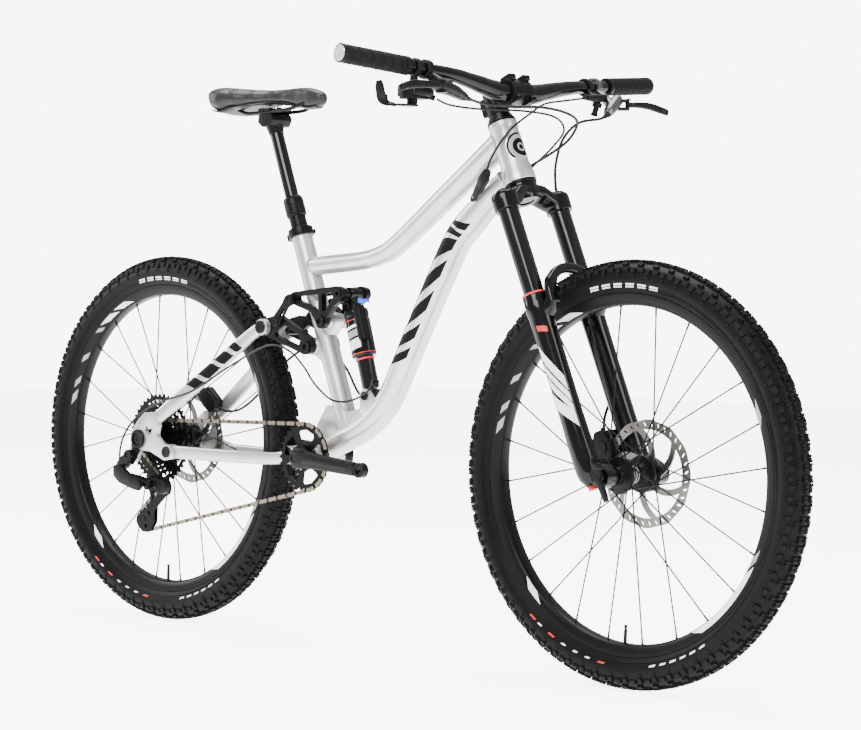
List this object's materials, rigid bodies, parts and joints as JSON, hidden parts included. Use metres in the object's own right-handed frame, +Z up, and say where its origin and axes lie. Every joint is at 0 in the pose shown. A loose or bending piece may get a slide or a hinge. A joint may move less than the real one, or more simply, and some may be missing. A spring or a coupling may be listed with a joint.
{
  "type": "mountain bike",
  "caption": "Full-suspension mountain bike with raw aluminium frame, black fork, linkage-driven shock, disc brakes, dropper seatpost and single-ring drivetrain.",
  "frame": {"origin": "on the ground midway between the wheel axles, in the middle plane", "axes": "+X forward, +Y to the rider's left, +Z up"},
  "size_m": [1.8538, 0.7876, 1.0402],
  "materials": {
    "raw_aluminium": "brushed and clear coated",
    "black_anodised": "black anodised",
    "black_paint": "gloss black",
    "silver_aluminium": "satin",
    "stainless_steel": "brushed",
    "black_steel": "black oxide",
    "red_anodised": "red anodised",
    "blue_anodised": "blue anodised",
    "tyre_rubber": "matte",
    "rim_black": "satin black",
    "grip_rubber": "ribbed",
    "hose_black": "smooth jacket",
    "black_plastic": "moulded",
    "chain_steel": "nickel and tan plates",
    "saddle_cover": "smooth synthetic cover"
  },
  "bodies": {
    "frame": {"front_frame": "raw_aluminium", "bearing_cups": "black_anodised", "seat_clamp_collar": "black_anodised", "dropper_outer_tube": "black_anodised", "pivot_bolts": "black_anodised", "rear_brake_hose": "hose_black", "shift_housing": "hose_black", "dropper_hose": "hose_black", "chain": "chain_steel"},
    "steerer": {"fork_crown": "black_paint", "fork_stanchions": "black_anodised", "stem": "black_anodised", "handlebar": "black_paint", "grips": "grip_rubber", "brake_bodies": "silver_aluminium", "shifter_body": "black_plastic", "dropper_remote": "black_plastic", "front_brake_hose": "hose_black"},
    "fork_lower": {"fork_lowers": "black_paint", "front_caliper": "black_anodised"},
    "thru_axle": {"front_axle": "black_anodised"},
    "rebound_dial": {"rebound_knob": "red_anodised"},
    "compression_dial": {"compression_knob": "black_anodised"},
    "left_lever": {"left_brake_lever": "black_anodised"},
    "right_lever": {"right_brake_lever": "black_anodised"},
    "paddle": {"shift_paddle": "black_plastic"},
    "remote": {"remote_button": "black_plastic"},
    "front_wheel": {"front_tyre": "tyre_rubber", "front_rim": "rim_black", "front_spokes": "black_steel", "front_hub": "black_anodised", "front_rotor": "stainless_steel"},
    "swingarm": {"chainstay": "raw_aluminium"},
    "stays": {"seatstays": "raw_aluminium", "rear_axle": "black_anodised", "rear_caliper": "black_anodised", "derailleur_hanger": "black_anodised"},
    "link": {"lower_link": "black_anodised"},
    "struts": {"link_struts": "black_anodised"},
    "rocker_arm": {"rocker": "black_anodised"},
    "shock_lower": {"shock_shaft": "black_anodised"},
    "shock_upper": {"shock_body": "black_anodised"},
    "shock_dial": {"shock_lever": "blue_anodised"},
    "rear_wheel": {"rear_tyre": "tyre_rubber", "rear_rim": "rim_black", "rear_spokes": "black_steel", "rear_hub": "black_anodised", "rear_rotor": "stainless_steel"},
    "sprockets": {"cassette": "black_steel"},
    "derailleur_link": {"derailleur_links": "black_anodised"},
    "derailleur_body": {"derailleur_knuckle": "black_plastic"},
    "cage": {"derailleur_cage": "black_steel"},
    "guide_wheel": {"upper_pulley": "black_plastic"},
    "tension_wheel": {"lower_pulley": "black_plastic"},
    "crank": {"crank_arms": "black_anodised", "chainring": "black_anodised"},
    "saddle_post": {"dropper_stanchion": "black_anodised", "saddle_rails": "black_steel", "saddle": "saddle_cover"},
    "clamp_lever": {"seat_clamp_lever": "black_anodised"}
  },
  "joints": [
    {"name": "steering", "type": "hinge", "parent": "frame", "child": "steerer", "pos_m": [0.29723, 0, 0.88549], "axis": [-0.3987, 0, 0.9171], "range_deg": [-60, 60], "deforming": ["rear_brake_hose", "shift_housing", "dropper_hose"]},
    {"name": "fork_travel", "type": "slide", "parent": "steerer", "child": "fork_lower", "axis": [-0.3987, 0, 0.9171], "range_m": [0, 0.15], "deforming": ["front_brake_hose"]},
    {"name": "front_wheel_spin", "type": "hinge", "parent": "fork_lower", "child": "front_wheel", "pos_m": [0.575, 0, 0.352], "axis": [0, 1, 0], "continuous": true},
    {"name": "front_axle_lever", "type": "hinge", "parent": "fork_lower", "child": "thru_axle", "pos_m": [0.575, 0, 0.352], "axis": [0, 1, 0], "range_deg": [0, 180]},
    {"name": "rebound_dial_turn", "type": "hinge", "parent": "fork_lower", "child": "rebound_dial", "pos_m": [0.54657, -0.066, 0.33964], "axis": [-0.3987, 0, 0.9171], "range_deg": [0, 270]},
    {"name": "compression_dial_turn", "type": "hinge", "parent": "steerer", "child": "compression_dial", "pos_m": [0.34161, -0.066, 0.81101], "axis": [-0.3987, 0, 0.9171], "range_deg": [0, 90]},
    {"name": "left_brake_pull", "type": "hinge", "parent": "steerer", "child": "left_lever", "pos_m": [0.358, 0.24, 0.9775], "axis": [0, 0, 1], "range_deg": [0, 14]},
    {"name": "right_brake_pull", "type": "hinge", "parent": "steerer", "child": "right_lever", "pos_m": [0.358, -0.24, 0.9775], "axis": [0, 0, -1], "range_deg": [0, 14]},
    {"name": "shift_push", "type": "hinge", "parent": "steerer", "child": "paddle", "pos_m": [0.283, -0.229, 0.96], "axis": [0, 0, 1], "range_deg": [0, 20]},
    {"name": "dropper_button_push", "type": "slide", "parent": "steerer", "child": "remote", "axis": [0.341, 0, 0.9401], "range_m": [0, 0.005]},
    {"name": "crank_spin", "type": "hinge", "parent": "frame", "child": "crank", "pos_m": [-0.149, 0, 0.3405], "axis": [0, 1, 0], "continuous": true},
    {"name": "suspension", "type": "hinge", "parent": "frame", "child": "swingarm", "pos_m": [-0.196, 0, 0.345], "axis": [0, 1, 0], "range_deg": [0, 21], "deforming": ["chain"]},
    {"name": "seatstay_pivot", "type": "hinge", "parent": "swingarm", "child": "stays", "pos_m": [-0.494, 0, 0.3315], "axis": [0, 1, 0], "range_deg": [-11.95, 0]},
    {"name": "lower_link_pivot", "type": "hinge", "parent": "frame", "child": "link", "pos_m": [-0.16, 0, 0.541], "axis": [0, 1, 0], "range_deg": [0, 43.5]},
    {"name": "strut_pivot", "type": "hinge", "parent": "link", "child": "struts", "pos_m": [-0.236, 0, 0.584], "axis": [0, 1, 0], "range_deg": [-45.9, 0]},
    {"name": "rocker_pivot", "type": "hinge", "parent": "frame", "child": "rocker_arm", "pos_m": [-0.124, 0, 0.588], "axis": [0, 1, 0], "range_deg": [0, 44.3]},
    {"name": "shock_eye_pivot", "type": "hinge", "parent": "frame", "child": "shock_lower", "pos_m": [-0.024, 0, 0.4565], "axis": [0, 1, 0], "range_deg": [0, 4.9]},
    {"name": "shock_stroke", "type": "slide", "parent": "shock_lower", "child": "shock_upper", "axis": [0.2948, 0, -0.9556], "range_m": [0, 0.0486]},
    {"name": "shock_lever_turn", "type": "hinge", "parent": "shock_upper", "child": "shock_dial", "pos_m": [-0.05096, -0.008, 0.6219], "axis": [0.1193, 0, 0.9929], "range_deg": [-40, 40]},
    {"name": "rear_wheel_spin", "type": "hinge", "parent": "stays", "child": "rear_wheel", "pos_m": [-0.575, 0, 0.352], "axis": [0, 1, 0], "continuous": true},
    {"name": "cassette_spin", "type": "hinge", "parent": "stays", "child": "sprockets", "pos_m": [-0.575, 0, 0.352], "axis": [0, 1, 0], "continuous": true},
    {"name": "derailleur_shift", "type": "hinge", "parent": "stays", "child": "derailleur_link", "pos_m": [-0.608, -0.086, 0.29], "axis": [0.3344, 0, 0.9424], "range_deg": [-10, 6]},
    {"name": "derailleur_parallel", "type": "hinge", "parent": "derailleur_link", "child": "derailleur_body", "pos_m": [-0.546, -0.08, 0.268], "axis": [0.3344, 0, 0.9424], "range_deg": [-6, 10]},
    {"name": "cage_swing", "type": "hinge", "parent": "derailleur_body", "child": "cage", "pos_m": [-0.519, 0, 0.263], "axis": [0, 1, 0], "range_deg": [-14, 6]},
    {"name": "upper_pulley_spin", "type": "hinge", "parent": "cage", "child": "guide_wheel", "pos_m": [-0.563, 0, 0.268], "axis": [0, 1, 0], "continuous": true},
    {"name": "lower_pulley_spin", "type": "hinge", "parent": "cage", "child": "tension_wheel", "pos_m": [-0.586, 0, 0.196], "axis": [0, 1, 0], "continuous": true},
    {"name": "saddle_drop", "type": "slide", "parent": "frame", "child": "saddle_post", "axis": [-0.3535, 0, 0.9354], "range_m": [-0.125, 0]},
    {"name": "seat_clamp_open", "type": "hinge", "parent": "frame", "child": "clamp_lever", "pos_m": [-0.24031, 0.0134, 0.73907], "axis": [-0.3535, 0, 0.9354], "range_deg": [0, 120]}
  ],
  "couplings": [
    {"joint": "seatstay_pivot", "follows": "suspension", "ratio": -0.5673},
    {"joint": "lower_link_pivot", "follows": "suspension", "ratio": 2.0678},
    {"joint": "strut_pivot", "follows": "suspension", "ratio": -2.1812},
    {"joint": "rocker_pivot", "follows": "suspension", "ratio": 2.1075},
    {"joint": "shock_eye_pivot", "follows": "suspension", "ratio": 0.2287},
    {"joint": "shock_stroke", "follows": "suspension", "m_per_rad": 0.1322},
    {"joint": "cassette_spin", "follows": "crank_spin", "ratio": 1.6667},
    {"joint": "upper_pulley_spin", "follows": "crank_spin", "ratio": -2.7273},
    {"joint": "lower_pulley_spin", "follows": "crank_spin", "ratio": 2.7273},
    {"joint": "derailleur_parallel", "follows": "derailleur_shift", "ratio": -1}
  ]
}
